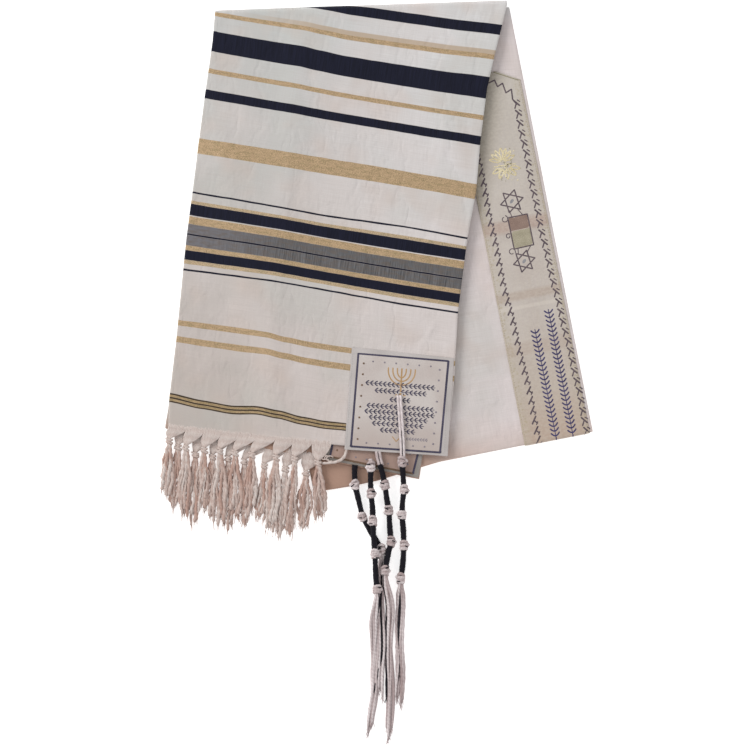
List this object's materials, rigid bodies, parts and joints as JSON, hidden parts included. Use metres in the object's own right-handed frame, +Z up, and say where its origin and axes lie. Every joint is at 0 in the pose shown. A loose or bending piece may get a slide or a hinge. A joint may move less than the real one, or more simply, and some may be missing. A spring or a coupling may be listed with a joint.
{
  "type": "folded tallit prayer shawl",
  "caption": "Striped woven prayer shawl folded flat, with a neckband, corner patches, a knotted fringe and long corner tassels.",
  "frame": {"origin": "middle of the folded shawl's box, on the surface it lies on", "axes": "+Z up out of the surface, +Y towards the top fold, +X towards the open long edge with the neckband"},
  "size_m": [0.4328, 0.7422, 0.0177],
  "materials": {
    "cloth": "cool white plain weave with navy, gold and grey woven stripes",
    "neckband": "champagne satin brocade with embroidered traditional ornament",
    "patch": "printed satin square with a navy frame line",
    "fringe": "loose twisted yarn",
    "corner_tassel": "white strands wound with a navy cord between knots"
  },
  "bodies": {
    "root": {"cloth_front": "cloth", "cloth_front_lower": "cloth", "cloth_second_end": "cloth", "cloth_back": "cloth", "cloth_under": "cloth", "neckband": "neckband", "corner_patch_front": "patch", "corner_patch_second": "patch", "fringe_front": "fringe", "fringe_second": "fringe", "tzitzit_1": "corner_tassel", "tzitzit_2": "corner_tassel", "tzitzit_3": "corner_tassel", "tzitzit_4": "corner_tassel"}
  },
  "joints": []
}
